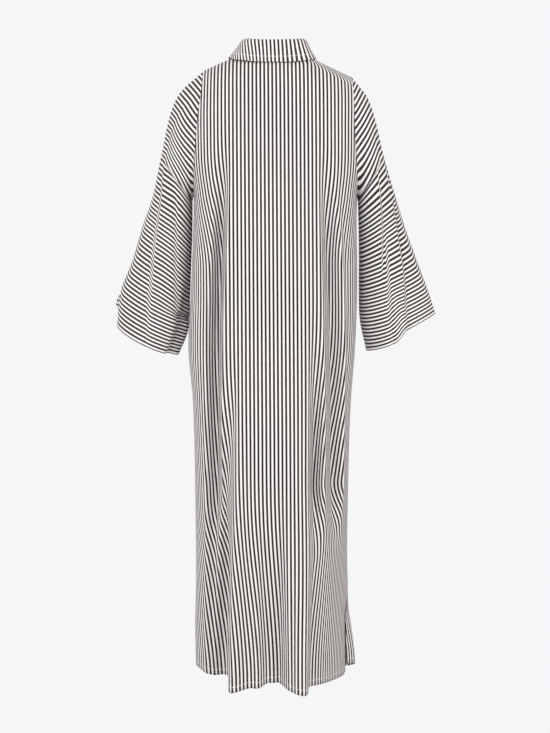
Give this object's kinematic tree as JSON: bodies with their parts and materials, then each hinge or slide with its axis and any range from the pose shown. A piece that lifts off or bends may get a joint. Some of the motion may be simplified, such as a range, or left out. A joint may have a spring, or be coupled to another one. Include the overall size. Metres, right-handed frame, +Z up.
{
  "type": "shirt dress",
  "caption": "Long loose striped shirt dress in its worn, hollow form, with wide dropped sleeves, a turned-down collar and a buttoned front.",
  "frame": {"origin": "on the centre line between the shoulders, level with the tops of the armholes, where the wearer's shoulders carry the dress", "axes": "+Z up along the dress, +X to the wearer's left, -Y to the wearer's front"},
  "size_m": [0.691, 0.2945, 1.3714],
  "materials": {
    "striped_cloth": "matte woven cotton with dark and white stripes of about 4 mm each",
    "buttons": "dark horn-like plastic, softly polished"
  },
  "bodies": {
    "root": {"back": "striped_cloth", "front_left": "striped_cloth", "front_right": "striped_cloth", "front_band": "striped_cloth", "sleeve_left": "striped_cloth", "sleeve_right": "striped_cloth", "collar_stand": "striped_cloth", "collar_fall": "striped_cloth", "button_01": "buttons", "button_02": "buttons", "button_03": "buttons", "button_04": "buttons", "button_05": "buttons", "button_06": "buttons", "button_07": "buttons", "button_08": "buttons", "button_09": "buttons", "button_collar": "buttons"}
  },
  "joints": []
}
